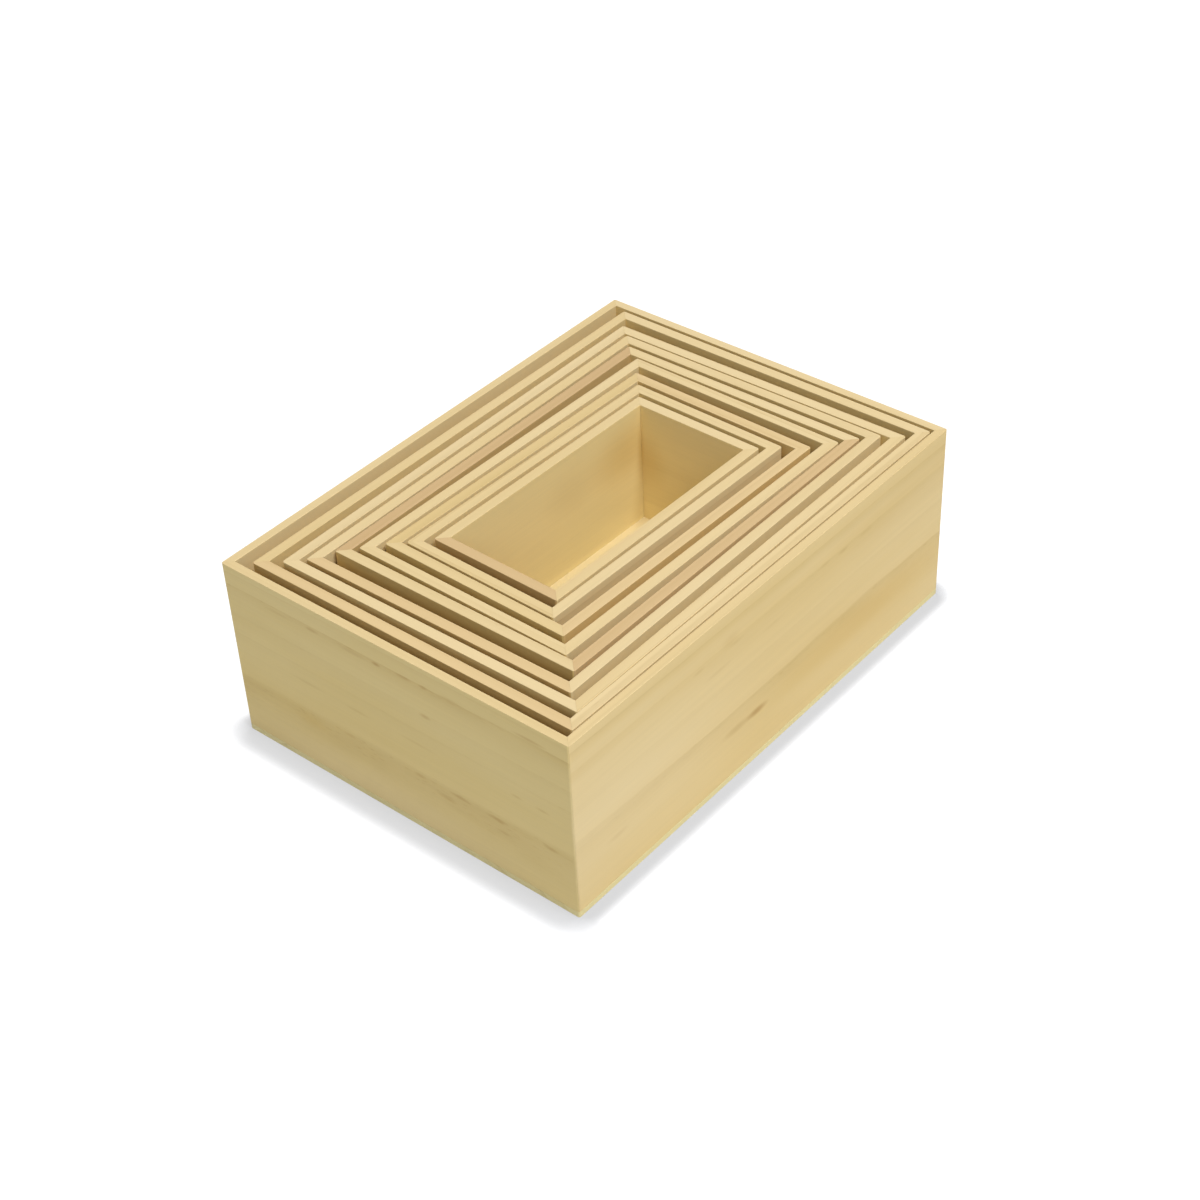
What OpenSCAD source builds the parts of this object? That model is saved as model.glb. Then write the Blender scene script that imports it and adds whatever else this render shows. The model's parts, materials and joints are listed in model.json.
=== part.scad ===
// Nest of nine open wooden boxes. Each box is four mitred walls on a thin glued bottom board and
// stands in the next larger one, with all the rims level. Box 1 is the largest, box 9 the smallest.
// X runs along the boxes, Y across them, Z up. The origin is under the middle of box 1.

/* [Largest box] */
// Outer length of the largest box
box_length = 310; // [280:1:400]
// Outer width of the largest box
box_width = 226; // [210:1:300]
// Height of the largest box, from the table to its rim
box_height = 110; // [90:1:160]
// Thickness of the largest box's walls
outer_wall_t = 5; // [4:0.5:7]

/* [Boards] */
// Thickness of the walls of the eight inner boxes
wall_t = 6; // [4:0.5:7]
// Thickness of every bottom board
bottom_t = 3.9; // [3:0.1:5.5]
// Radius of the upright outer corners, rubbed round after gluing
corner_r = 1.2; // [0.4:0.2:3]

/* [Play of the inner boxes] */
// Total play along the length, for box 2 in box 1 first and box 9 in box 8 last
length_play = [6.5, 10, 3.5, 9.5, 4, 10, 4, 7.5]; // [2:0.5:12]
// Total play across the width, in the same order
width_play = [8.5, 5.5, 7, 3.5, 6.5, 6, 8.5, 4.5]; // [2:0.5:12]

/* [How the boxes happen to lie] */
// Turn of each inner box, as a share of the turn at which its corners would touch
turn_share = [0, 0.35, 0, -0.3, -0.55, -0.2, -0.05, 0.2]; // [-0.8:0.05:0.8]
// Shift to the right, as a share of the room that is left
shift_right = [0.35, -0.2, 0.45, 0.5, -0.15, -0.2, -0.35, 0.3]; // [-0.95:0.05:0.95]
// Shift to the back, as a share of the room that is left
shift_back = [-0.8, -0.95, 0.35, 0.2, -0.35, 0.25, 0.55, -0.1]; // [-0.95:0.05:0.95]

/* [Hidden] */
$fn = 48;
box_count = 9;
pale_wood = "#e9d5a3";
rosy_wood = "#e3c69c";
bottom_wood = "#dcc690";
PIECES = ["bottom", "front_wall", "back_wall", "left_wall", "right_wall"];
ROSY_BOARDS = [
    "box_2_left_wall", "box_4_left_wall", "box_5_front_wall", "box_5_back_wall",
    "box_7_front_wall", "box_7_right_wall", "box_9_left_wall"
];

function node_name(box, piece) = str("box_", box, "_", piece);
function wall_color(name) = len([for (rosy = ROSY_BOARDS) if (rosy == name) 1]) > 0 ? rosy_wood : pale_wood;

// Sizes of a box: each inner box is what its neighbour leaves inside, less the play
function wall_of(box) = box == 1 ? outer_wall_t : wall_t;
function length_play_of(box) = length_play[box - 2];
function width_play_of(box) = width_play[box - 2];
function length_of(box) =
    box == 1 ? box_length : length_of(box - 1) - 2 * wall_of(box - 1) - length_play_of(box);
function width_of(box) =
    box == 1 ? box_width : width_of(box - 1) - 2 * wall_of(box - 1) - width_play_of(box);
function height_of(box) = box_height - (box - 1) * bottom_t;

// Place of an inner box in its neighbour: it turns a little, then shifts in the room that is left
function turn_limit(box) =
    min(asin(length_play_of(box) / width_of(box)), asin(width_play_of(box) / length_of(box)));
function turn_of(box) = turn_share[box - 2] * turn_limit(box);
function room_along(box) = length_play_of(box) - width_of(box) * sin(abs(turn_of(box)));
function room_across(box) = width_play_of(box) - length_of(box) * sin(abs(turn_of(box)));
function shift_x(box) = shift_right[box - 2] * room_along(box) / 2;
function shift_y(box) = shift_back[box - 2] * room_across(box) / 2;

// Sets its children in the place of one box, counted inwards from box 1
module in_place(box) {
    if (box == 1) children();
    else in_place(box - 1)
        translate([shift_x(box), shift_y(box), bottom_t])
            rotate([0, 0, turn_of(box)])
                children();
}

// Outline of a box seen from above, with rubbed corners
module outline(length, width) {
    square([length - 2 * corner_r, width], center = true);
    square([length, width - 2 * corner_r], center = true);
    for (x = [-1, 1])
        for (y = [-1, 1])
            translate([x * (length / 2 - corner_r), y * (width / 2 - corner_r)])
                circle(r = corner_r);
}

// One wall, mitred at both ends: angle 0 is the front wall, whose length is along_length
module wall(box, angle) {
    turned = angle % 180 != 0;
    half_run = (turned ? width_of(box) : length_of(box)) / 2;
    half_depth = (turned ? length_of(box) : width_of(box)) / 2;
    t = wall_of(box);
    translate([0, 0, bottom_t])
        linear_extrude(height_of(box) - bottom_t)
            intersection() {
                outline(length_of(box), width_of(box));
                rotate(angle)
                    polygon([
                        [-half_run, -half_depth],
                        [half_run, -half_depth],
                        [half_run - t, t - half_depth],
                        [t - half_run, t - half_depth]
                    ]);
            }
}

module front_wall(box) {
    color(wall_color(node_name(box, "front_wall"))) in_place(box) wall(box, 0);
}

module right_wall(box) {
    color(wall_color(node_name(box, "right_wall"))) in_place(box) wall(box, 90);
}

module back_wall(box) {
    color(wall_color(node_name(box, "back_wall"))) in_place(box) wall(box, 180);
}

module left_wall(box) {
    color(wall_color(node_name(box, "left_wall"))) in_place(box) wall(box, 270);
}

// The thin board under the four walls, flush with their outer faces
module bottom(box) {
    color(bottom_wood) in_place(box) linear_extrude(bottom_t) outline(length_of(box), width_of(box));
}

for (box = [1:box_count]) {
    bottom(box);
    front_wall(box);
    back_wall(box);
    left_wall(box);
    right_wall(box);
}
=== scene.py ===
"""Nest of nine open boxes in pale, unfinished wood, each standing in the next larger one.

The file is laid out as a Blender add-on and is run as a script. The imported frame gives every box's place and
size. Each board is cut anew over its node, with eased edges, mitred ends and the grain of its own plank.
Lengths are in metres unless a name says otherwise.
"""

import json
import math
import random
from dataclasses import dataclass

import bpy
from bpy.props import FloatProperty, FloatVectorProperty, PointerProperty
from mathutils import Matrix, Vector


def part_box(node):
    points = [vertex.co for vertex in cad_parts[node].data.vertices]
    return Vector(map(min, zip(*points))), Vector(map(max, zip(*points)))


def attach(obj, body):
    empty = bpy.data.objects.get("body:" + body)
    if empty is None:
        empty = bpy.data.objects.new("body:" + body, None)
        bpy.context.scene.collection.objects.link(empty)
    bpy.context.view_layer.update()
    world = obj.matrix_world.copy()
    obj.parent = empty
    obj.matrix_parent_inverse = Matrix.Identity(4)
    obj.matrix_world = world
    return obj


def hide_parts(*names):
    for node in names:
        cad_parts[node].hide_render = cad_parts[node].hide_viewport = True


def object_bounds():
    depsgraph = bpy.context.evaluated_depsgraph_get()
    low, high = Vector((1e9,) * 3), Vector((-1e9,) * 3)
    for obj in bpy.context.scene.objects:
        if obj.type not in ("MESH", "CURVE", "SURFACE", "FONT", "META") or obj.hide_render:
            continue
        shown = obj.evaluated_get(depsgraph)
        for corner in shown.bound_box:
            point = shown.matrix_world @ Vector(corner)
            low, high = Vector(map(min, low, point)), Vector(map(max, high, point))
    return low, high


bl_info = {
    "name": "Nest of Wooden Boxes",
    "version": (1, 0, 0),
    "blender": (4, 5, 0),
    "location": "3D View > Sidebar > Box Nest",
    "description": "Builds a nest of nine open wooden boxes over its packed frame",
    "category": "Object",
}

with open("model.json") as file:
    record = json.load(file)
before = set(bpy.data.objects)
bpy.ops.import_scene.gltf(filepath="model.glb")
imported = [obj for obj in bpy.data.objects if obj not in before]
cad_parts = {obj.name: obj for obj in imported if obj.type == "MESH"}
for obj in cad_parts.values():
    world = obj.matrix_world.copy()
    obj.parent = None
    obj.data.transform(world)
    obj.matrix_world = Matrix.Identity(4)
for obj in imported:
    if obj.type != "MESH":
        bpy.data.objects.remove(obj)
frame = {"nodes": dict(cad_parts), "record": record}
CAD_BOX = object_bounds()

MM = 0.001
BOX_COUNT = 9
# The walls, each with the turn that takes a board lying along the front to its own side
SIDES = {"front_wall": 0, "right_wall": 90, "back_wall": 180, "left_wall": 270}
# Steps in a board's half of a rounded upright corner, in the rounding of a wall's long edges and in the
# rounding of a bottom board's edges
CORNER_STEPS = 5
EDGE_STEPS = 4
BOTTOM_EDGE_STEPS = 3
# Lean of a mitred end
MITRE = math.pi / 4
# Edges that turn more than this stay crisp
CRISP_ANGLE = math.radians(35)
# Faces whose normal rises more than this belong to a board's rim
RIM_SLOPE = 0.5
# Faces whose normal has a part larger than this lie in a wall's plain sides
PLAIN_SIDE = 0.9999
# Points that lie closer than this are taken for one
SAME_PLACE = 0.01 * MM
# Width of the camera's sensor in millimetres, as a lens is measured
SENSOR_WIDTH = 36
SEED = 9

# How the boards that show are coloured: the depth of their faces and of their rim, from 0, the palest of
# their wood, to 1, the deepest, the tint of their faces and how strongly their growth lines show. Past 0 or 1
# less of the board's own drift in depth shows. The rim of a bottom board is its upper face.
# Most left walls of the inner boxes are set deeper and the right walls paler, and both take the honey tint:
# painted shade and painted light for the faces that show in the narrow gaps between the boxes.
COLOURING = {
    "box_1_bottom": (0.35, 0.3, "yellowed_shade", 0.7),
    "box_1_front_wall": (0.72, 0.35, "plain", 1.0),
    "box_1_right_wall": (-0.2, 0.0, "honeyed_shade", 0.8),
    "box_1_back_wall": (0.05, 0.25, "plain", 0.8),
    # Painted shade: the yellow tint gives this shaded face the colour cast of its shade
    "box_1_left_wall": (0.7, 0.4, "yellowed_shade", 0.85),
    "box_2_front_wall": (-0.1, 0.15, "plain", 0.5),
    "box_2_right_wall": (-0.2, 0.15, "honeyed_shade", 0.6),
    "box_2_back_wall": (0.5, 0.4, "plain", 0.7),
    "box_2_left_wall": (0.5, 0.1, "honeyed_shade", 0.6),
    "box_3_front_wall": (-0.2, 0.3, "plain", 0.6),
    "box_3_right_wall": (-0.2, 0.05, "honeyed_shade", 0.6),
    "box_3_back_wall": (-0.2, 0.0, "plain", 0.6),
    "box_3_left_wall": (-0.15, 0.0, "honeyed_shade", 0.6),
    "box_4_front_wall": (-0.2, 0.0, "plain", 0.5),
    "box_4_right_wall": (-0.2, 0.0, "honeyed_shade", 0.6),
    "box_4_back_wall": (0.0, 0.3, "plain", 0.7),
    "box_4_left_wall": (0.5, 0.1, "honeyed_shade", 0.6),
    "box_5_front_wall": (0.7, 0.65, "plain", 0.6),
    "box_5_right_wall": (-0.3, 0.2, "honeyed_shade", 0.6),
    "box_5_back_wall": (1.0, 1.0, "yellowed_shade", 0.7),
    "box_5_left_wall": (0.5, 0.15, "honeyed_shade", 0.6),
    "box_6_front_wall": (-0.05, 0.2, "plain", 0.6),
    "box_6_right_wall": (-0.1, 0.1, "honeyed_shade", 0.6),
    "box_6_back_wall": (-0.1, 0.1, "plain", 0.6),
    "box_6_left_wall": (0.5, 0.2, "honeyed_shade", 0.6),
    "box_7_front_wall": (0.6, 0.1, "honeyed_shade", 0.5),
    "box_7_right_wall": (-0.2, -0.2, "honeyed_shade", 0.6),
    "box_7_back_wall": (0.1, 0.7, "plain", 0.7),
    "box_7_left_wall": (0.6, 0.4, "honeyed_shade", 0.6),
    "box_8_front_wall": (-0.1, 0.25, "plain", 0.6),
    "box_8_right_wall": (0.0, 0.2, "honeyed_shade", 0.6),
    "box_8_back_wall": (0.1, 0.35, "plain", 0.7),
    "box_8_left_wall": (0.35, 0.45, "honeyed_shade", 0.6),
    "box_9_front_wall": (0.1, 0.3, "plain", 0.5),
    # Painted light: the bright tint lifts box 9's inner right and back walls
    "box_9_right_wall": (-0.15, 0.1, "painted_light", 0.9),
    "box_9_back_wall": (-0.15, 0.35, "painted_light", 0.5),
    "box_9_left_wall": (1.1, 0.5, "honeyed_shade", 0.5),
    "box_9_bottom": (0.4, 0.6, "warmed", 0.5),
}
# Tints of the faces, and of the freshly sanded rims, as shares of red, green and blue. The honey tint of the
# side walls and the yellow tint of box 1's left face are painted shade, and the bright tint of box 9's inner
# walls is painted light.
TINTS = {
    "plain": (1.0, 1.0, 1.0),
    "yellowed_shade": (0.985, 1.01, 0.9),
    "warmed": (1.03, 1.03, 0.9),
    "painted_light": (1.08, 1.09, 0.97),
    "honeyed_shade": (1.03, 1.0, 0.82),
}
RIM_TINT = (1.025, 0.995, 0.975)
# The wood of each material slot
WOOD_OF_SLOT = {
    "pale_wood": "pale_limewood_sanded",
    "rosy_wood": "rosy_limewood_sanded",
    "bottom_board": "thin_limewood_planed",
}

# Place in the log of the planks that show most: in millimetres along it, from the pith sideways and from the
# pith up to the plank's lower outer edge, and 1 or -1 for the end that lies first. It sets at which heights
# the growth lines cross the face.
PLACE_IN_LOG = {
    "box_1_front_wall": (8432, 168.3, -10.7, 1),
    "box_1_left_wall": (-2152, 134.3, 2.8, -1),
    "box_9_back_wall": (-6120, 208, -67, 1),
    "box_9_right_wall": (-8030, 164, -69, -1),
}
# Spans from which an unlisted plank's place in the log, its depth and the strength of its lines are drawn
LOG_SPANS = ((-9000, 9000), (60, 220), (-110, 60))
DEPTH_SPAN = (0.1, 0.4)
FIGURE_SPAN = (0.4, 0.9)

# Noises in the wood, each with the size of its streaks in millimetres along and across the fibres, and its
# detail. Real fibres are under a tenth of a millimetre wide and wouldn't show, so they are drawn coarser.
STREAKS = {
    "wander": (320, 90, 1),
    "wobble": (45, 14, 2),
    "drift": (170, 30, 2),
    "streak": (110, 1.8, 3),
    "fibre": (15, 0.45, 2),
    "fleck": (6, 0.9, 1),
}
# The sums that make a plank's figure from its place in the log, each as a name, an operation and its terms
FIGURE = (
    # The log tapers and its rings wander and wobble a little
    ("taper", "MULTIPLY", "along", 0.004),
    ("wander_off", "SUBTRACT", "wander", 0.5),
    ("wander_by", "MULTIPLY", "wander_off", 3 * MM),
    ("wobble_off", "SUBTRACT", "wobble", 0.5),
    ("wobble_by", "MULTIPLY", "wobble_off", 0.7 * MM),
    ("tapered", "ADD", "radius", "taper"),
    ("wandered", "ADD", "tapered", "wander_by"),
    ("wobbled", "ADD", "wandered", "wobble_by"),
    # The years differ in width
    ("even_years", "DIVIDE", "wobbled", "ring_width"),
    ("slow_turn", "MULTIPLY", "even_years", 0.8),
    ("slow_wave", "SINE", "slow_turn"),
    ("slow", "MULTIPLY", "slow_wave", 0.32),
    ("quick_turn", "MULTIPLY_ADD", "even_years", 2.1, 1.3),
    ("quick_wave", "SINE", "quick_turn"),
    ("quick", "MULTIPLY", "quick_wave", 0.22),
    ("slow_years", "ADD", "even_years", "slow"),
    ("years", "ADD", "slow_years", "quick"),
    ("year", "FLOOR", "years"),
    ("season", "FRACT", "years"),
    # Late wood darkens through the year and stops at a fairly sharp line
    ("rise", "POWER", "season", 3.0),
    ("rest_of_year", "SUBTRACT", 1.0, "season"),
    ("end", "MULTIPLY", "rest_of_year", 18.0),
    ("stop", "MINIMUM", "end", 1.0),
    ("late", "MULTIPLY", "rise", "stop"),
    # Some years leave a darker line than others
    ("year_turn", "MULTIPLY_ADD", "year", 1.94, 4.7),
    ("year_wave", "SINE", "year_turn"),
    ("year_share", "MULTIPLY_ADD", "year_wave", 0.5, 0.5),
    ("year_weight", "POWER", "year_share", 1.5),
    ("strength", "MULTIPLY_ADD", "year_weight", 0.8, 0.2),
    ("patch", "MULTIPLY_ADD", "wobble_off", 1.6, 1.0),
    ("patchy", "MULTIPLY", "late", "patch"),
    ("ring", "MULTIPLY", "patchy", "strength"),
    ("shown_ring", "MULTIPLY", "ring", "figure"),
    ("ring_mix", "MULTIPLY", "shown_ring", 0.42),
    # Flecks are the tops of one noise, and show along the growth lines
    ("fleck_over", "SUBTRACT", "fleck", 0.6),
    ("fleck_steep", "MULTIPLY", "fleck_over", 8.0),
    ("fleck_from", "MAXIMUM", "fleck_steep", 0.0),
    ("fleck_to", "MINIMUM", "fleck_from", 1.0),
    ("fleck_near_ring", "MULTIPLY", "fleck_to", "shown_ring"),
    ("fleck_on_line", "MULTIPLY", "fleck_near_ring", "rise"),
    ("fleck_mix", "MULTIPLY", "fleck_on_line", 0.4),
    # The board's depth of tone drifts along it, and its shade follows the fibres
    ("drift_off", "SUBTRACT", "drift", 0.5),
    ("depth", "MULTIPLY_ADD", "drift_off", 0.85, "tone"),
    ("streak_off", "SUBTRACT", "streak", 0.5),
    ("streak_by", "MULTIPLY_ADD", "streak_off", 0.07, 1.0),
    ("fibre_off", "SUBTRACT", "fibre", 0.5),
    ("shade", "MULTIPLY_ADD", "fibre_off", 0.05, "streak_by"),
    ("rough", "MULTIPLY_ADD", "fibre_off", 0.2, "mean_rough"),
)
# Flecks, stains and pale patches on the outer faces of box 1, and stains and painted shade on the inner faces
# of box 9.
# Each has its place along the face from the middle of box 1, its height, half length and half height in
# millimetres, its strength and its colour.
FRONT_MARKS = (
    (-155, 62, 190, 75, 0.4, "pale_light"),
    (-150, 56, 130, 18, 0.35, "pale_light"),
    (0, 103.2, 420, 6, 0.5, "pale_deep"),
    (0, 90.5, 420, 6, 0.4, "pale_deep"),
    (130, 88, 110, 34, 0.1, "late_wood_and_shade"),
    (85, 33, 95, 17, 0.28, "resin"),
    (-13.5, 31.8, 12, 3.2, 0.6, "fleck"),
    (-30, 32, 16, 3.6, 0.24, "fleck"),
    (-124, 31.5, 11, 2.2, 0.12, "fleck"),
    (-60, 89, 6, 1.8, 0.12, "fleck"),
    (-35, 92, 10, 6, 0.1, "fleck"),
    (-30, 88, 8, 1.8, 0.1, "fleck"),
    (-45, 79, 14, 2, 0.1, "fleck"),
    (0, 79.5, 12, 1.8, 0.07, "fleck"),
    (44, 89, 6, 1.6, 0.12, "fleck"),
    (60, 88, 6, 1.8, 0.2, "fleck"),
    (80, 88, 9, 1.8, 0.1, "fleck"),
)
LEFT_MARKS = (
    (20, 5, 150, 24, 0.4, "pale_light"),
    (62, 33, 16, 8, 0.14, "resin"),
    (51, 96.6, 6, 1.5, 0.28, "fleck"),
    (75, 95.5, 12, 1.5, 0.12, "fleck"),
    (24, 96.2, 12, 1.8, 0.14, "fleck"),
    (8, 97, 4, 1.5, 0.5, "fleck"),
    (-10, 98, 7, 1.5, 0.28, "fleck"),
    (-23, 98.3, 4, 1.6, 0.34, "fleck"),
    (-40, 99.3, 10, 1.4, 0.16, "fleck"),
    (-89, 101, 13, 1.5, 0.3, "fleck"),
    (-22, 79.5, 5, 1.8, 0.3, "fleck"),
    (60, 58, 14, 1.6, 0.12, "fleck"),
    (26, 57.5, 12, 1.4, 0.14, "fleck"),
    (-14, 58, 16, 1.3, 0.12, "fleck"),
    (-78, 59.5, 5, 1.3, 0.18, "fleck"),
    (-94, 59.5, 6, 1.3, 0.2, "fleck"),
    (34, 37.5, 6, 1.6, 0.2, "fleck"),
    (-14, 37, 6, 1.8, 0.24, "fleck"),
    (-40, 37.2, 9, 1.6, 0.36, "fleck"),
    (-64, 36.8, 9, 1.6, 0.34, "fleck"),
    (-31, 32, 9, 2.4, 0.22, "fleck"),
    (-68, 30, 7, 1.6, 0.2, "fleck"),
    (-98, 37, 6, 1.8, 0.32, "fleck"),
)
INNER_BACK_MARKS = (
    (66, 87, 40, 26, 0.38, "resin"),
    (20, 86, 30, 20, 0.12, "late_wood_and_shade"),
    # Painted shade: a faint grey-green darkening over the lower part of the inner back wall
    (40, 46, 90, 38, 0.13, "grey_low_shade"),
)
INNER_RIGHT_MARKS = (
    (30, 74, 20, 24, 0.3, "resin"),
    # Painted shade: a broad darkening in the late wood's colour across the lower part of the inner right wall
    (0, 56, 50, 26, 0.14, "late_wood_and_shade"),
)
# How deep a mark goes below the face of box 1, and of box 9, which stands a little askew
MARK_DEPTH = 2 * MM
INNER_MARK_DEPTH = 4 * MM
# Share of its half size within which a mark has its full strength
MARK_HEART = 0.1
# Mean roughness of the wood's faces, and how strongly and how high its fibres stand up
SANDED_ROUGHNESS = 0.6
PLANED_ROUGHNESS = 0.65
FIBRE_BUMP = 0.2
FIBRE_HEIGHT = 0.1 * MM

# Shares of open sky: where the contact shadow is darkest and where it ends, and where the paper past it
# starts to brighten and is brightest
SHADOW_SKY = (0.765, 0.989)
CLEAR_SKY = (0.98, 1.0)
SKY_SAMPLES = 12


def linear(hex_color):
    """Turns an sRGB hex colour into linear red, green and blue."""
    shares = [int(hex_color[i : i + 2], 16) / 255 for i in (1, 3, 5)]
    return tuple(s / 12.92 if s <= 0.04045 else ((s + 0.055) / 1.055) ** 2.4 for s in shares)


def add(tree, kind, settings=None, values=None):
    """Adds one node, sets its settings, and links or fills its inputs by name or number."""
    node = tree.nodes.new(kind)
    for name, setting in (settings or {}).items():
        setattr(node, name, setting)
    for key, value in (values or {}).items():
        if isinstance(value, bpy.types.Node):
            value = value.outputs[0]
        if isinstance(value, bpy.types.NodeSocket):
            tree.links.new(value, node.inputs[key])
        else:
            node.inputs[key].default_value = value
    return node


class BoardSizes(bpy.types.PropertyGroup):
    """Small sizes of the boards that the frame doesn't give."""

    rim_rounding: FloatProperty(
        name="Rim Rounding",
        description="Radius of the sanded upper edges of the walls",
        default=0.3 * MM,
        unit="LENGTH",
    )
    foot_rounding: FloatProperty(
        name="Foot Rounding",
        description="Radius of the lower edges of the walls, at the glue line",
        default=0.15 * MM,
        unit="LENGTH",
    )
    bottom_rounding: FloatProperty(
        name="Bottom Rounding",
        description="Radius of the edges of the bottom boards",
        default=0.5 * MM,
        unit="LENGTH",
    )
    mitre_gap: FloatProperty(
        name="Mitre Gap",
        description="How far each mitred end stands back from the true mitre, as a glue line shows",
        default=0.03 * MM,
        unit="LENGTH",
    )


class WoodColours(bpy.types.PropertyGroup):
    """Colours of the woods and the width of their rings."""

    pale_light: FloatVectorProperty(
        name="Pale Wood, Light",
        description="The palest boards",
        default=linear("#EDD8A7"),
        subtype="COLOR",
    )
    pale_deep: FloatVectorProperty(
        name="Pale Wood, Deep",
        description="The deepest of the pale boards",
        default=linear("#DEC383"),
        subtype="COLOR",
    )
    rosy_light: FloatVectorProperty(
        name="Rosy Wood, Light",
        description="The mildest of the rosy boards",
        default=linear("#E7CD99"),
        subtype="COLOR",
    )
    rosy_deep: FloatVectorProperty(
        name="Rosy Wood, Deep",
        description="The strongest of the rosy boards",
        default=linear("#D3B483"),
        subtype="COLOR",
    )
    bottom_light: FloatVectorProperty(
        name="Bottom Wood, Light",
        description="The palest bottom boards",
        default=linear("#EADCB0"),
        subtype="COLOR",
    )
    bottom_deep: FloatVectorProperty(
        name="Bottom Wood, Deep",
        description="The deepest bottom boards",
        default=linear("#DCCB98"),
        subtype="COLOR",
    )
    # Also the colour of the painted shade across the lower part of box 9's inner right wall
    late_wood_and_shade: FloatVectorProperty(
        name="Late Wood",
        description="Colour towards which each growth ring darkens at its outer edge",
        default=linear("#B6954C"),
        subtype="COLOR",
    )
    fleck: FloatVectorProperty(
        name="Flecks",
        description="Colour of the small brown flecks and streaks",
        default=linear("#A5751C"),
        subtype="COLOR",
    )
    resin: FloatVectorProperty(
        name="Resin",
        description="Colour towards which a warm patch leans",
        default=linear("#C99E2E"),
        subtype="COLOR",
    )
    # Painted shade: the colour towards which the lower inside of box 9 darkens
    grey_low_shade: FloatVectorProperty(
        name="Grey Low Shade",
        description="Colour of the faint grey-green painted shade low inside the smallest box",
        default=linear("#989B6B"),
        subtype="COLOR",
    )
    ring_width: FloatProperty(
        name="Growth Ring",
        description="Mean width of one year's ring in the log",
        default=7 * MM,
        unit="LENGTH",
    )


class StageSettings(bpy.types.PropertyGroup):
    """Camera, lights and floor."""

    camera_place: FloatVectorProperty(
        name="Camera Place",
        description="Where the camera stands",
        default=(-0.69857, -0.61372, 0.78036),
        subtype="TRANSLATION",
    )
    camera_target: FloatVectorProperty(
        name="Camera Target",
        description="The point that the camera looks at",
        default=(-0.01366, -0.01194, 0.055),
        subtype="TRANSLATION",
    )
    camera_roll: FloatProperty(
        name="Camera Roll",
        description="Turn of the camera about its own line of sight",
        default=math.radians(-2.95),
        subtype="ANGLE",
    )
    lens: FloatProperty(
        name="Lens",
        description="Focal length in millimetres on a sensor 36 mm wide",
        default=67.175,
    )
    sky: FloatProperty(
        name="Sky Light",
        description="Strength of the even light from all round",
        default=0.265,
    )
    key_place: FloatVectorProperty(
        name="Key Light Place",
        description="Where the key light hangs",
        default=(0.0, -1.8, 3.96),
        subtype="TRANSLATION",
    )
    key_light: FloatProperty(
        name="Key Light",
        description="Power of the soft light high up in front",
        default=130.5,
        subtype="POWER",
    )
    fill_place: FloatVectorProperty(
        name="Fill Light Place",
        description="Where the fill light hangs",
        default=(-3.06, -1.8, 2.52),
        subtype="TRANSLATION",
    )
    fill_light: FloatProperty(
        name="Fill Light",
        description="Power of the weak soft light in front on the left",
        default=18.3,
        subtype="POWER",
    )
    lamp_size: FloatProperty(
        name="Lamp Size",
        description="Side of each square lamp",
        default=1.44,
        unit="LENGTH",
    )
    floor_colour: FloatVectorProperty(
        name="Floor",
        description="Colour with which the floor lights the boxes",
        default=linear("#F2F2F2"),
        subtype="COLOR",
    )
    floor_shade: FloatVectorProperty(
        name="Floor Shade",
        description="Colour of the lit part of the floor as the camera sees it",
        default=linear("#61636A"),
        subtype="COLOR",
    )
    floor_glow: FloatProperty(
        name="Floor Glow",
        description="Light that the floor past the shadow adds as seen directly, so that it stays white",
        default=0.18,
    )
    floor_reach: FloatProperty(
        name="Floor Reach",
        description="How far the floor goes out from the middle",
        default=4.0,
        unit="LENGTH",
    )
    left_shadow_reach: FloatProperty(
        name="Contact Shadow, Left",
        description="How far the soft shadow goes out from the foot of the largest box on its left",
        default=17.5 * MM,
        unit="LENGTH",
    )
    shadow_reach: FloatProperty(
        name="Contact Shadow",
        description="How far the soft shadow goes out on the other sides",
        default=11.5 * MM,
        unit="LENGTH",
    )
    shadow_blend: FloatProperty(
        name="Shadow Blend",
        description="How far on either side of the left edge one shadow passes into the other",
        default=5 * MM,
        unit="LENGTH",
    )
    left_shadow_glow: FloatProperty(
        name="Glow in Shadow, Left",
        description="Light that the floor gives off where the shadow on the left is darkest",
        default=0.62,
    )
    shadow_glow: FloatProperty(
        name="Glow in Shadow",
        description="Light that the floor gives off where the shadow on the other sides is darkest",
        default=0.56,
    )
    edge_glow: FloatProperty(
        name="Glow at Edge",
        description="Light that the floor gives off at the shadow's edge",
        default=0.87,
    )


@dataclass
class Seat:
    """Where one box stands, and its sizes, as read from the frame."""

    number: int
    centre: Vector
    turn: float
    length: float
    width: float
    foot: float
    wall_foot: float
    rim: float
    wall: float
    corner: float

    @property
    def body(self):
        return f"box_{self.number}"


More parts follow.
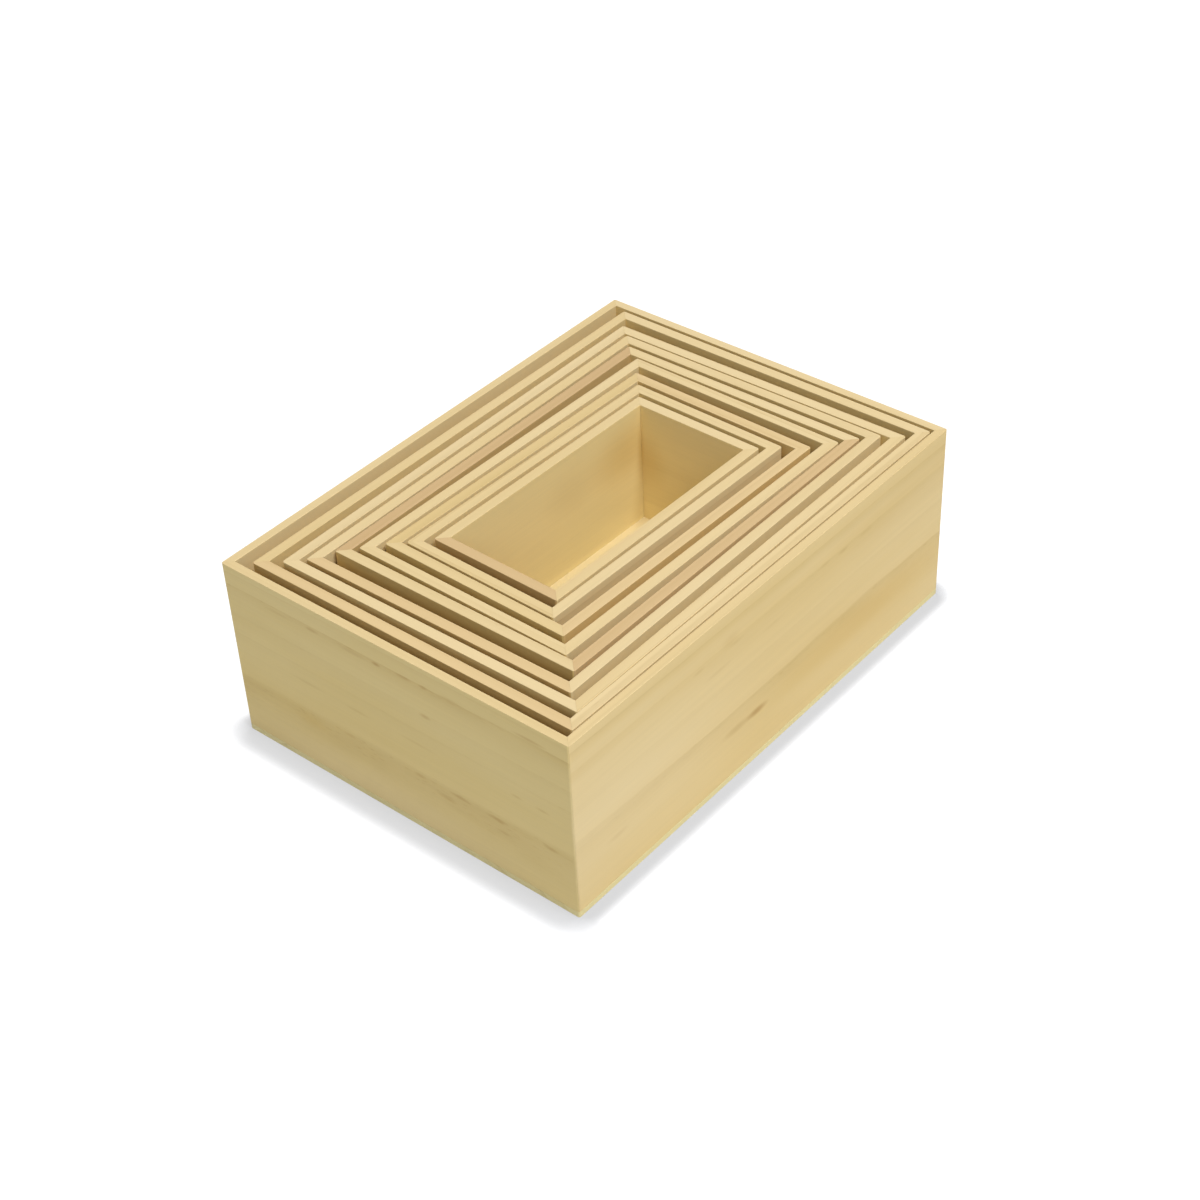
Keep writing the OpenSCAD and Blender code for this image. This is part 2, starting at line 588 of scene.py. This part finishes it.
def read_seat(number):
    """Reads a box's place and sizes from its bottom board and its front wall."""
    bottom = frame["nodes"][f"box_{number}_bottom"].data
    front = frame["nodes"][f"box_{number}_front_wall"].data
    widest = max(front.polygons, key=lambda face: face.area).normal
    turn = math.atan2(widest.x, -widest.y)
    if abs(turn) > math.pi / 2:
        turn = math.remainder(turn + math.pi, 2 * math.pi)
    back = Matrix.Rotation(-turn, 3, "Z")
    outline = [back @ v.co for v in bottom.vertices]
    low = [min(p[i] for p in outline) for i in (0, 1)]
    high = [max(p[i] for p in outline) for i in (0, 1)]
    middle = Vector(((low[0] + high[0]) / 2, (low[1] + high[1]) / 2, 0))
    wall_depths = [(back @ v.co).y for v in front.vertices]
    straight = max(p.x for p in outline if p.y < low[1] + SAME_PLACE)
    foot, wall_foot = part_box(f"box_{number}_bottom")
    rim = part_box(f"box_{number}_front_wall")[1]
    return Seat(
        number=number,
        centre=back.transposed() @ middle,
        turn=turn,
        length=high[0] - low[0],
        width=high[1] - low[1],
        foot=foot.z,
        wall_foot=wall_foot.z,
        rim=rim.z,
        wall=max(wall_depths) - min(wall_depths),
        corner=high[0] - straight,
    )


def slot_of(node):
    """The material slot that the record gives a node."""
    rows = frame["record"]["subparts"]
    return next(row["material_slot"] for row in rows if row["node"] == node)


def wood_inputs(node, dice):
    """A plank's place in its log and its colouring, as listed or drawn at random, and its wood."""
    drawn = [dice.uniform(*span) for span in LOG_SPANS] + [dice.choice((-1, 1))]
    along, sideways, up, first_end = PLACE_IN_LOG.get(node, drawn)
    depth = dice.uniform(*DEPTH_SPAN)
    unlisted = (depth, depth, "plain", dice.uniform(*FIGURE_SPAN))
    tone, rim_tone, tint, figure = COLOURING.get(node, unlisted)
    return {
        "Place in Log": (along * MM, sideways * MM, up * MM),
        "Lie in Log": (first_end, 1, 1),
        "Tone": tone,
        "Rim Tone": rim_tone,
        "Tint": TINTS[tint],
        "Figure": figure,
        "Wood": bpy.data.materials[WOOD_OF_SLOT[slot_of(node)]],
    }


def marks_on_face(marks, across, face, depth):
    """Gives one upright face's marks as centre, half size, strength and colour.

    The face stands at right angles to the axis numbered across, which it meets at face.
    """
    for along, height, half, tall, strength, layer_colour in marks:
        centre = Vector((along, along, height)) * MM
        half_size = Vector((half, half, tall)) * MM
        centre[across] = face
        half_size[across] = depth
        yield centre, half_size, strength, layer_colour


def wall_marks():
    """The marks on box 1's front and left faces and on box 9's inner back and right faces."""
    low = CAD_BOX[0]
    smallest = read_seat(BOX_COUNT)
    inner_right = smallest.centre.x + smallest.length / 2 - smallest.wall
    inner_back = smallest.centre.y + smallest.width / 2 - smallest.wall
    return [
        *marks_on_face(FRONT_MARKS, 1, low.y, MARK_DEPTH),
        *marks_on_face(LEFT_MARKS, 0, low.x, MARK_DEPTH),
        *marks_on_face(INNER_BACK_MARKS, 1, inner_back, INNER_MARK_DEPTH),
        *marks_on_face(INNER_RIGHT_MARKS, 0, inner_right, INNER_MARK_DEPTH),
    ]


def new_tree(name, sizes):
    """Starts a Geometry Nodes tree whose inputs are named in sizes, and returns it with its input node."""
    tree = bpy.data.node_groups.new(name, "GeometryNodeTree")
    for label, kind in sizes.items():
        tree.interface.new_socket(name=label, in_out="INPUT", socket_type=kind)
    tree.interface.new_socket(name="Geometry", in_out="OUTPUT", socket_type="NodeSocketGeometry")
    return tree, add(tree, "NodeGroupInput")


def finish_tree(tree, given, board, spot):
    """Gives a board its grain and colouring, sets it in its place, and ends the tree."""
    plank = add(
        tree,
        "ShaderNodeVectorMath",
        {"operation": "MULTIPLY_ADD"},
        {0: spot, 1: given.outputs["Lie in Log"], 2: given.outputs["Place in Log"]},
    )
    up = add(tree, "ShaderNodeSeparateXYZ", values={0: add(tree, "GeometryNodeInputNormal")}).outputs["Z"]
    on_rim = add(tree, "FunctionNodeCompare", {"operation": "GREATER_THAN"}, {"A": up, "B": RIM_SLOPE})
    tone = add(
        tree,
        "GeometryNodeSwitch",
        {"input_type": "FLOAT"},
        {"Switch": on_rim, "False": given.outputs["Tone"], "True": given.outputs["Rim Tone"]},
    )
    tint = add(
        tree,
        "GeometryNodeSwitch",
        {"input_type": "VECTOR"},
        {"Switch": on_rim, "False": given.outputs["Tint"], "True": RIM_TINT},
    )
    for name, kind, domain, value in (
        ("grain", "FLOAT_VECTOR", "POINT", plank),
        ("tone", "FLOAT", "FACE", tone),
        ("tint", "FLOAT_VECTOR", "FACE", tint),
        ("figure", "FLOAT", "FACE", given.outputs["Figure"]),
    ):
        board = add(
            tree,
            "GeometryNodeStoreNamedAttribute",
            {"data_type": kind, "domain": domain},
            {"Geometry": board, "Name": name, "Value": value},
        )
    turn = add(tree, "ShaderNodeCombineXYZ", values={"Z": given.outputs["Turn"]})
    placed = add(
        tree,
        "GeometryNodeTransform",
        values={"Geometry": board, "Translation": given.outputs["Centre"], "Rotation": turn},
    )
    real = add(tree, "GeometryNodeRealizeInstances", values={0: placed})
    wooden = add(
        tree, "GeometryNodeSetMaterial", values={"Geometry": real, "Material": given.outputs["Wood"]}
    )
    add(tree, "NodeGroupOutput", values={"Geometry": wooden})


# Inputs that both kinds of board have
SHARED_INPUTS = {
    "Turn": "NodeSocketFloat",
    "Centre": "NodeSocketVector",
    "Place in Log": "NodeSocketVector",
    "Lie in Log": "NodeSocketVector",
    "Tone": "NodeSocketFloat",
    "Rim Tone": "NodeSocketFloat",
    "Tint": "NodeSocketVector",
    "Figure": "NodeSocketFloat",
    "Wood": "NodeSocketMaterial",
}


def wall_profile(tree, size):
    """Draws a wall's cross-section from one corner, with its rim edges rounded more than its foot."""
    section = add(
        tree,
        "GeometryNodeCurvePrimitiveQuadrilateral",
        values={"Width": size["Thickness"], "Height": size["Height"]},
    )
    level = add(tree, "ShaderNodeSeparateXYZ", values={0: add(tree, "GeometryNodeInputPosition")})
    at_rim = add(
        tree, "FunctionNodeCompare", {"operation": "GREATER_THAN"}, {"A": level.outputs["Y"], "B": 0.0}
    )
    rounding = add(
        tree,
        "GeometryNodeSwitch",
        {"input_type": "FLOAT"},
        {"Switch": at_rim, "False": size["Foot Rounding"], "True": size["Rim Rounding"]},
    )
    eased = add(
        tree,
        "GeometryNodeFilletCurve",
        {"mode": "POLY"},
        {"Curve": section, "Count": EDGE_STEPS, "Radius": rounding},
    )
    whole = add(tree, "ShaderNodeCombineXYZ", values={"X": size["Thickness"], "Y": size["Height"]})
    to_corner = add(tree, "ShaderNodeVectorMath", {"operation": "SCALE"}, {0: whole, "Scale": 0.5})
    return add(tree, "GeometryNodeTransform", values={"Geometry": eased, "Translation": to_corner})


def sweep_along(tree, profile, last_station):
    """Sweeps a section along the stations and turns it so that it reads station, depth, height."""
    line = add(
        tree,
        "GeometryNodeCurvePrimitiveLine",
        values={"Start": (0, 0, 0), "End": (last_station, 0, 0)},
    )
    stations = add(
        tree, "GeometryNodeResampleCurve", {"mode": "COUNT"}, {"Curve": line, "Count": last_station + 1}
    )
    sweep = add(
        tree,
        "GeometryNodeCurveToMesh",
        values={"Curve": stations, "Profile Curve": profile, "Fill Caps": True},
    )
    return add(tree, "GeometryNodeTransform", values={"Geometry": sweep, "Rotation": (math.pi, 0, 0)})


def bend_ends(tree, size, upright, last_station):
    """Bends both ends of a swept wall round the corners, to the mitres."""
    place = add(tree, "ShaderNodeSeparateXYZ", values={0: add(tree, "GeometryNodeInputPosition")})
    sums = {name: size[name] for name in size.keys() if name}
    sums.update(station=place.outputs["X"], depth=place.outputs["Y"], height=place.outputs["Z"])
    recipe = [
        ("half_run", "MULTIPLY", "Run", 0.5),
        ("to_far_end", "SUBTRACT", last_station, "station"),
        ("to_end", "MINIMUM", "station", "to_far_end"),
        ("bend_back", "MULTIPLY", "to_end", MITRE / CORNER_STEPS),
        ("bend", "SUBTRACT", MITRE, "bend_back"),
        ("cosine", "COSINE", "bend"),
        ("versine", "SUBTRACT", 1, "cosine"),
        ("inset", "MULTIPLY", "Corner Radius", "versine"),
        ("sine", "SINE", "bend"),
        ("round_reach", "MULTIPLY", "Corner Radius", "sine"),
        ("straight_reach", "SUBTRACT", "half_run", "Corner Radius"),
        ("tight_reach", "SUBTRACT", "straight_reach", "Mitre Gap"),
        ("reach", "ADD", "tight_reach", "round_reach"),
        ("inset_share", "DIVIDE", "inset", "Thickness"),
        ("depth_left", "SUBTRACT", 1, "inset_share"),
        ("depth_in", "MULTIPLY", "depth", "depth_left"),
        ("leaned", "SUBTRACT", "reach", "depth_in"),
        ("from_middle", "SUBTRACT", "station", last_station / 2),
        ("side", "SIGN", "from_middle"),
        ("along", "MULTIPLY", "side", "leaned"),
        ("inwards", "ADD", "inset", "depth_in"),
        ("across", "SUBTRACT", "inwards", "Set Back"),
    ]
    for name, operation, *terms in recipe:
        values = {number: sums.get(term, term) for number, term in enumerate(terms)}
        sums[name] = add(tree, "ShaderNodeMath", {"operation": operation}, values)
    bent = add(
        tree,
        "ShaderNodeCombineXYZ",
        values={"X": sums["along"], "Y": sums["across"], "Z": sums["height"]},
    )
    return add(tree, "GeometryNodeSetPosition", values={"Geometry": upright, "Position": bent})


def shade_wall(tree, wall):
    """Leaves the plain sides of a wall flat and makes the rounded edges between them smooth."""
    normal = add(tree, "GeometryNodeInputNormal")
    size_of_normal = add(tree, "ShaderNodeVectorMath", {"operation": "ABSOLUTE"}, {0: normal})
    parts = add(tree, "ShaderNodeSeparateXYZ", values={0: size_of_normal})
    largest = parts.outputs["X"]
    for axis in "YZ":
        largest = add(
            tree, "ShaderNodeMath", {"operation": "MAXIMUM"}, {0: largest, 1: parts.outputs[axis]}
        )
    is_round = add(
        tree, "FunctionNodeCompare", {"operation": "LESS_THAN"}, {"A": largest, "B": PLAIN_SIDE}
    )
    flat = add(tree, "GeometryNodeSetShadeSmooth", values={"Geometry": wall, "Shade Smooth": False})
    rounded = add(
        tree,
        "GeometryNodeSetShadeSmooth",
        values={"Geometry": flat, "Selection": is_round, "Shade Smooth": True},
    )
    bend_of_edge = add(tree, "GeometryNodeInputMeshEdgeAngle")
    is_crisp = add(
        tree, "FunctionNodeCompare", {"operation": "GREATER_THAN"}, {"A": bend_of_edge, "B": CRISP_ANGLE}
    )
    return add(
        tree,
        "GeometryNodeSetShadeSmooth",
        {"domain": "EDGE"},
        {"Geometry": rounded, "Selection": is_crisp, "Shade Smooth": False},
    )


def wall_tree():
    """Sweeps a wall's cross-section along its run and bends both ends round the corners to the mitres.

    The sweep starts as a row of stations. Those near each end follow half of the rounded corner, and the
    section leans over to 45 degrees, so that the end lies in the mitre.
    """
    tree, given = new_tree(
        "Mitred Wall",
        {
            "Run": "NodeSocketFloat",
            "Thickness": "NodeSocketFloat",
            "Height": "NodeSocketFloat",
            "Set Back": "NodeSocketFloat",
            "Corner Radius": "NodeSocketFloat",
            "Rim Rounding": "NodeSocketFloat",
            "Foot Rounding": "NodeSocketFloat",
            "Mitre Gap": "NodeSocketFloat",
            **SHARED_INPUTS,
        },
    )
    size = given.outputs
    last_station = 2 * CORNER_STEPS + 1
    upright = sweep_along(tree, wall_profile(tree, size), last_station)
    wall = shade_wall(tree, bend_ends(tree, size, upright, last_station))

    # The grain runs along the wall, and its depth is counted from the outer face
    place = add(tree, "ShaderNodeSeparateXYZ", values={0: add(tree, "GeometryNodeInputPosition")})
    from_face = add(
        tree, "ShaderNodeMath", {"operation": "ADD"}, {0: place.outputs["Y"], 1: size["Set Back"]}
    )
    grain = add(
        tree,
        "ShaderNodeCombineXYZ",
        values={"X": place.outputs["X"], "Y": from_face, "Z": place.outputs["Z"]},
    )
    finish_tree(tree, given, wall, grain)
    return tree


def bottom_tree():
    """Fills a rounded rectangle and thickens it into a board."""
    tree, given = new_tree(
        "Bottom Board",
        {
            "Length": "NodeSocketFloat",
            "Width": "NodeSocketFloat",
            "Thickness": "NodeSocketFloat",
            "Corner Radius": "NodeSocketFloat",
            **SHARED_INPUTS,
        },
    )
    size = given.outputs
    rectangle = add(
        tree,
        "GeometryNodeCurvePrimitiveQuadrilateral",
        values={"Width": size["Length"], "Height": size["Width"]},
    )
    outline = add(
        tree,
        "GeometryNodeFilletCurve",
        {"mode": "POLY"},
        {"Curve": rectangle, "Count": 2 * CORNER_STEPS, "Radius": size["Corner Radius"]},
    )
    sheet = add(tree, "GeometryNodeFillCurve", {"mode": "NGONS"}, {"Curve": outline})
    underside = add(tree, "GeometryNodeFlipFaces", values={"Mesh": sheet})
    thickened = add(
        tree,
        "GeometryNodeExtrudeMesh",
        values={"Mesh": sheet, "Offset Scale": size["Thickness"], "Individual": False},
    )
    shell = add(tree, "GeometryNodeJoinGeometry")
    tree.links.new(underside.outputs[0], shell.inputs[0])
    tree.links.new(thickened.outputs[0], shell.inputs[0])
    closed = add(tree, "GeometryNodeMergeByDistance", values={"Geometry": shell, "Distance": SAME_PLACE})
    # A bottom is sawn flat from the log, so its thickness takes the place of a wall's depth
    place = add(tree, "ShaderNodeSeparateXYZ", values={0: add(tree, "GeometryNodeInputPosition")})
    grain = add(
        tree,
        "ShaderNodeCombineXYZ",
        values={"X": place.outputs["X"], "Y": place.outputs["Z"], "Z": place.outputs["Y"]},
    )
    finish_tree(tree, given, closed, grain)
    return tree


def make_board(name, tree, values, bevel=0.0):
    """Makes one board from a tree and its sizes, and leaves it as a plain mesh."""
    board = bpy.data.objects.new(name, bpy.data.meshes.new(name))
    bpy.context.scene.collection.objects.link(board)
    modifier = board.modifiers.new("Board", "NODES")
    modifier.node_group = tree
    sockets = {item.name: item.identifier for item in tree.interface.items_tree if item.in_out == "INPUT"}
    for label, value in values.items():
        modifier[sockets[label]] = value
    if bevel:
        easing = board.modifiers.new("Eased Edges", "BEVEL")
        easing.width = bevel
        easing.segments = BOTTOM_EDGE_STEPS
        easing.limit_method = "ANGLE"
        easing.angle_limit = CRISP_ANGLE
    bpy.context.view_layer.update()
    evaluated = board.evaluated_get(bpy.context.evaluated_depsgraph_get())
    plain = bpy.data.meshes.new_from_object(evaluated)
    plain.name = name
    board.modifiers.clear()
    board.data = plain
    return board


def seat_board(board, node, body):
    """Lets a finished board stand for its node and ride with its box."""
    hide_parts(node)
    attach(board, body)


def figure_of(tree, roughness, ring_width):
    """Works out the figure of the wood where a point lay in the log, and returns its sums by name."""
    grain = add(tree, "ShaderNodeAttribute", {"attribute_name": "grain"}).outputs["Vector"]
    across_log = add(tree, "ShaderNodeVectorMath", {"operation": "MULTIPLY"}, {0: grain, 1: (0, 1, 1)})
    radius = add(tree, "ShaderNodeVectorMath", {"operation": "LENGTH"}, {0: across_log})
    sums = {
        "radius": radius.outputs["Value"],
        "along": add(tree, "ShaderNodeSeparateXYZ", values={0: grain}),
        "tone": add(tree, "ShaderNodeAttribute", {"attribute_name": "tone"}).outputs["Fac"],
        "figure": add(tree, "ShaderNodeAttribute", {"attribute_name": "figure"}).outputs["Fac"],
        "ring_width": ring_width,
        "mean_rough": roughness,
    }
    for name, (along, across, detail) in STREAKS.items():
        stretched = add(
            tree,
            "ShaderNodeMapping",
            values={"Vector": grain, "Scale": (1 / (along * MM), 1 / (across * MM), 1 / (across * MM))},
        )
        sums[name] = add(
            tree, "ShaderNodeTexNoise", values={"Vector": stretched, "Scale": 1, "Detail": detail}
        )
    for name, operation, *terms in FIGURE:
        values = {number: sums.get(term, term) for number, term in enumerate(terms)}
        sums[name] = add(tree, "ShaderNodeMath", {"operation": operation}, values)
    return sums


def mark_tints(tree, marks, colours):
    """Gives each mark's amount, its strength at its heart and 0 outside it, with its colour."""
    place = add(tree, "ShaderNodeTexCoord").outputs["Object"]
    for centre, half_size, strength, layer_colour in marks:
        away = add(tree, "ShaderNodeVectorMath", {"operation": "SUBTRACT"}, {0: place, 1: centre})
        share = add(tree, "ShaderNodeVectorMath", {"operation": "DIVIDE"}, {0: away, 1: half_size})
        spread = add(tree, "ShaderNodeVectorMath", {"operation": "LENGTH"}, {0: share}).outputs["Value"]
        amount = add(
            tree,
            "ShaderNodeMapRange",
            {"interpolation_type": "SMOOTHSTEP"},
            {"Value": spread, "From Min": 1.0, "From Max": MARK_HEART, "To Min": 0.0, "To Max": strength},
        )
        yield amount, getattr(colours, layer_colour)


def wood_material(name, light, deep, roughness, colours, marks=()):
    """Bare wood: growth rings, streaks, fibre and flecks follow each plank's own place in its log."""
    wood = bpy.data.materials.new(name)
    wood.use_nodes = True
    tree = wood.node_tree
    tree.nodes.clear()
    sums = figure_of(tree, roughness, colours.ring_width)
    colour = add(
        tree,
        "ShaderNodeMix",
        {"data_type": "RGBA"},
        {"Factor": sums["depth"], "A": (*light, 1), "B": (*deep, 1)},
    ).outputs["Result"]
    tint = add(tree, "ShaderNodeAttribute", {"attribute_name": "tint"}).outputs["Vector"]
    colour = add(tree, "ShaderNodeVectorMath", {"operation": "MULTIPLY"}, {0: colour, 1: tint})
    colour_layers = [(sums["ring_mix"], colours.late_wood_and_shade), (sums["fleck_mix"], colours.fleck)]
    # Some of the marks on box 9's inner walls are painted shade
    colour_layers += mark_tints(tree, marks, colours)
    for amount, layer_colour in colour_layers:
        colour = add(
            tree, "ShaderNodeMix", {"data_type": "RGBA"}, {"Factor": amount, "A": colour, "B": (*layer_colour, 1)}
        ).outputs["Result"]
    shaded = add(tree, "ShaderNodeVectorMath", {"operation": "SCALE"}, {0: colour, "Scale": sums["shade"]})
    bump = add(
        tree,
        "ShaderNodeBump",
        values={"Strength": FIBRE_BUMP, "Distance": FIBRE_HEIGHT, "Height": sums["fibre"]},
    )
    surface = add(
        tree,
        "ShaderNodeBsdfPrincipled",
        values={"Base Color": shaded, "Roughness": sums["rough"], "Normal": bump},
    )
    add(tree, "ShaderNodeOutputMaterial", values={"Surface": surface})
    return wood


class NEST_OT_woods(bpy.types.Operator):
    """Mix the three woods: pale, rosy and the thin bottom boards'"""

    bl_idname = "box_nest.woods"
    bl_label = "Mix the Woods"

    def execute(self, context):
        hues = context.scene.nest_woods
        # Limewood, planed and sanded, bare: a matt, creamy face with faint rings and fine fibre
        pale = (hues.pale_light, hues.pale_deep)
        wood_material("pale_limewood_sanded", *pale, SANDED_ROUGHNESS, hues, wall_marks())
        # Limewood from nearer the pith, sanded: the same matt face, a little pink
        rosy = (hues.rosy_light, hues.rosy_deep)
        wood_material("rosy_limewood_sanded", *rosy, SANDED_ROUGHNESS, hues)
        # Thin limewood, planed only: creamier, a little rougher
        thin = (hues.bottom_light, hues.bottom_deep)
        wood_material("thin_limewood_planed", *thin, PLANED_ROUGHNESS, hues)
        return {"FINISHED"}


class NEST_OT_walls(bpy.types.Operator):
    """Cut the four mitred walls of every box"""

    bl_idname = "box_nest.walls"
    bl_label = "Cut the Walls"

    def execute(self, context):
        sizes = context.scene.nest_boards
        dice = random.Random(SEED)
        tree = wall_tree()
        for number in range(1, BOX_COUNT + 1):
            seat = read_seat(number)
            for side, angle in SIDES.items():
                node = f"{seat.body}_{side}"
                lengthways = angle % 180 == 0
                board = make_board(
                    f"{node}_board",
                    tree,
                    {
                        "Run": seat.length if lengthways else seat.width,
                        "Thickness": seat.wall,
                        "Height": seat.rim - seat.wall_foot,
                        "Set Back": (seat.width if lengthways else seat.length) / 2,
                        "Corner Radius": seat.corner,
                        "Rim Rounding": sizes.rim_rounding,
                        "Foot Rounding": sizes.foot_rounding,
                        "Mitre Gap": sizes.mitre_gap,
                        "Turn": seat.turn + math.radians(angle),
                        "Centre": (seat.centre.x, seat.centre.y, seat.wall_foot),
                        **wood_inputs(node, dice),
                    },
                )
                seat_board(board, node, seat.body)
        return {"FINISHED"}


class NEST_OT_bottoms(bpy.types.Operator):
    """Lay the thin bottom board under every box"""

    bl_idname = "box_nest.bottoms"
    bl_label = "Lay the Bottoms"

    def execute(self, context):
        sizes = context.scene.nest_boards
        dice = random.Random(SEED + 1)
        tree = bottom_tree()
        for number in range(1, BOX_COUNT + 1):
            seat = read_seat(number)
            node = f"{seat.body}_bottom"
            board = make_board(
                f"{node}_board",
                tree,
                {
                    "Length": seat.length,
                    "Width": seat.width,
                    "Thickness": seat.wall_foot - seat.foot,
                    "Corner Radius": seat.corner,
                    "Turn": seat.turn,
                    "Centre": (seat.centre.x, seat.centre.y, seat.foot),
                    **wood_inputs(node, dice),
                },
                bevel=sizes.bottom_rounding,
            )
            seat_board(board, node, seat.body)
        return {"FINISHED"}


def seen_directly(tree):
    """Adds the test for rays that show the stage itself: to the camera, in a gloss or through glass."""
    ray = add(tree, "ShaderNodeLightPath")
    seen = ray.outputs["Is Camera Ray"]
    for kind in ("Is Glossy Ray", "Is Transmission Ray"):
        seen = add(tree, "ShaderNodeMath", {"operation": "MAXIMUM"}, {0: seen, 1: ray.outputs[kind]})
    return seen


def by_side(tree, stage, on_left, elsewhere):
    """Gives one value left of the largest box and another elsewhere, with a short blend at its left edge."""
    place = add(tree, "ShaderNodeTexCoord").outputs["Object"]
    from_left = add(tree, "ShaderNodeSeparateXYZ", values={0: place}).outputs["X"]
    left_edge = CAD_BOX[0].x
    return add(
        tree,
        "ShaderNodeMapRange",
        values={
            "Value": from_left,
            "From Min": left_edge - stage.shadow_blend,
            "From Max": left_edge + stage.shadow_blend,
            "To Min": on_left,
            "To Max": elsewhere,
        },
    )


def paper_material(stage):
    """White paper, matt: it lights the boxes as white paper does, and shows as white with a contact shadow.

    The shadow is soft and follows how much of the sky is hidden close by. It is widest on the left.
    """
    paper = bpy.data.materials.new("white_paper_matt")
    paper.use_nodes = True
    tree = paper.node_tree
    tree.nodes.clear()
    lighting = add(tree, "ShaderNodeBsdfDiffuse", values={"Color": (*stage.floor_colour, 1)})
    shadowed = add(tree, "ShaderNodeBsdfDiffuse", values={"Color": (*stage.floor_shade, 1)})
    reach = by_side(tree, stage, stage.left_shadow_reach, stage.shadow_reach)
    darkest = by_side(tree, stage, stage.left_shadow_glow, stage.shadow_glow)
    sky = add(tree, "ShaderNodeAmbientOcclusion", {"samples": SKY_SAMPLES}, {"Distance": reach})
    shadow = add(
        tree,
        "ShaderNodeMapRange",
        {"interpolation_type": "SMOOTHSTEP"},
        {
            "Value": sky.outputs["AO"],
            "From Min": SHADOW_SKY[0],
            "From Max": SHADOW_SKY[1],
            "To Min": darkest,
            "To Max": stage.edge_glow,
        },
    )
    # Past the shadow the paper is brighter than white, so that it stays white where the lights fall off
    clear = add(
        tree,
        "ShaderNodeMapRange",
        values={
            "Value": sky.outputs["AO"],
            "From Min": CLEAR_SKY[0],
            "From Max": CLEAR_SKY[1],
            "To Min": 0.0,
            "To Max": stage.floor_glow,
        },
    )
    strength = add(tree, "ShaderNodeMath", {"operation": "ADD"}, {0: shadow, 1: clear})
    glow = add(tree, "ShaderNodeEmission", values={"Color": (1, 1, 1, 1), "Strength": strength})
    shown = add(tree, "ShaderNodeAddShader", values={0: shadowed, 1: glow})
    mixed = add(tree, "ShaderNodeMixShader", values={0: seen_directly(tree), 1: lighting, 2: shown})
    add(tree, "ShaderNodeOutputMaterial", values={"Surface": mixed})
    return paper


def place_camera(scene, stage):
    """Aims the camera at its target and turns it about its own line of sight."""
    camera = bpy.data.objects.new("camera", bpy.data.cameras.new("camera"))
    scene.collection.objects.link(camera)
    camera.data.lens = stage.lens
    camera.data.sensor_width = SENSOR_WIDTH
    camera.data.clip_start = 0.01
    sight = Vector(stage.camera_target) - Vector(stage.camera_place)
    aim = sight.to_track_quat("-Z", "Y").to_matrix()
    roll = Matrix.Rotation(stage.camera_roll, 3, "Z")
    camera.matrix_world = Matrix.Translation(stage.camera_place) @ (aim @ roll).to_4x4()
    scene.camera = camera


def hang_lamp(scene, name, place, power, size):
    """Hangs a square lamp that faces the origin."""
    lamp = bpy.data.lights.new(name, "AREA")
    lamp.size = size
    lamp.energy = power
    softbox = bpy.data.objects.new(name, lamp)
    scene.collection.objects.link(softbox)
    turn = (-place).to_track_quat("-Z", "Y").to_matrix().to_4x4()
    softbox.matrix_world = Matrix.Translation(place) @ turn


def light_sky(scene, strength):
    """Lights the boxes evenly from all round, and shows as white."""
    world = bpy.data.worlds.new("soft_white")
    scene.world = world
    world.use_nodes = True
    tree = world.node_tree
    tree.nodes.clear()
    even = add(tree, "ShaderNodeBackground", values={"Color": (1, 1, 1, 1), "Strength": strength})
    white = add(tree, "ShaderNodeBackground", values={"Color": (1, 1, 1, 1), "Strength": 1})
    mixed = add(tree, "ShaderNodeMixShader", values={0: seen_directly(tree), 1: even, 2: white})
    add(tree, "ShaderNodeOutputWorld", values={"Surface": mixed})


def lay_floor(scene, stage):
    """Lays a square of paper under the boxes."""
    reach = stage.floor_reach
    corners = [(x * reach, y * reach, 0) for x, y in ((-1, -1), (1, -1), (1, 1), (-1, 1))]
    mesh = bpy.data.meshes.new("floor")
    mesh.from_pydata(corners, [], [(0, 1, 2, 3)])
    mesh.materials.append(paper_material(stage))
    floor = bpy.data.objects.new("floor", mesh)
    scene.collection.objects.link(floor)


class NEST_OT_stage(bpy.types.Operator):
    """Set up the camera, the soft light and the white floor"""

    bl_idname = "box_nest.stage"
    bl_label = "Set the Stage"

    def execute(self, context):
        scene = context.scene
        stage = scene.nest_stage
        scene.view_settings.view_transform = "Standard"
        place_camera(scene, stage)
        hang_lamp(scene, "key_light", Vector(stage.key_place), stage.key_light, stage.lamp_size)
        hang_lamp(scene, "fill_light", Vector(stage.fill_place), stage.fill_light, stage.lamp_size)
        light_sky(scene, stage.sky)
        lay_floor(scene, stage)
        return {"FINISHED"}


class NEST_PT_panel(bpy.types.Panel):
    """Lists the steps that build the nest"""

    bl_idname = "NEST_PT_panel"
    bl_label = "Nest of Wooden Boxes"
    bl_space_type = "VIEW_3D"
    bl_region_type = "UI"
    bl_category = "Box Nest"

    def draw(self, context):
        for step in STEPS:
            self.layout.operator(step.bl_idname)


GROUPS = {"nest_boards": BoardSizes, "nest_woods": WoodColours, "nest_stage": StageSettings}
STEPS = (NEST_OT_stage, NEST_OT_woods, NEST_OT_walls, NEST_OT_bottoms)


def register():
    for group in (*GROUPS.values(), *STEPS, NEST_PT_panel):
        bpy.utils.register_class(group)
    for name, group in GROUPS.items():
        setattr(bpy.types.Scene, name, PointerProperty(type=group))


def unregister():
    for name in GROUPS:
        delattr(bpy.types.Scene, name)
    for group in reversed((*GROUPS.values(), *STEPS, NEST_PT_panel)):
        bpy.utils.unregister_class(group)


def main():
    """Builds the nest."""
    register()
    bpy.ops.box_nest.stage()
    bpy.ops.box_nest.woods()
    bpy.ops.box_nest.walls()
    bpy.ops.box_nest.bottoms()


if __name__ == "__main__":
    main()
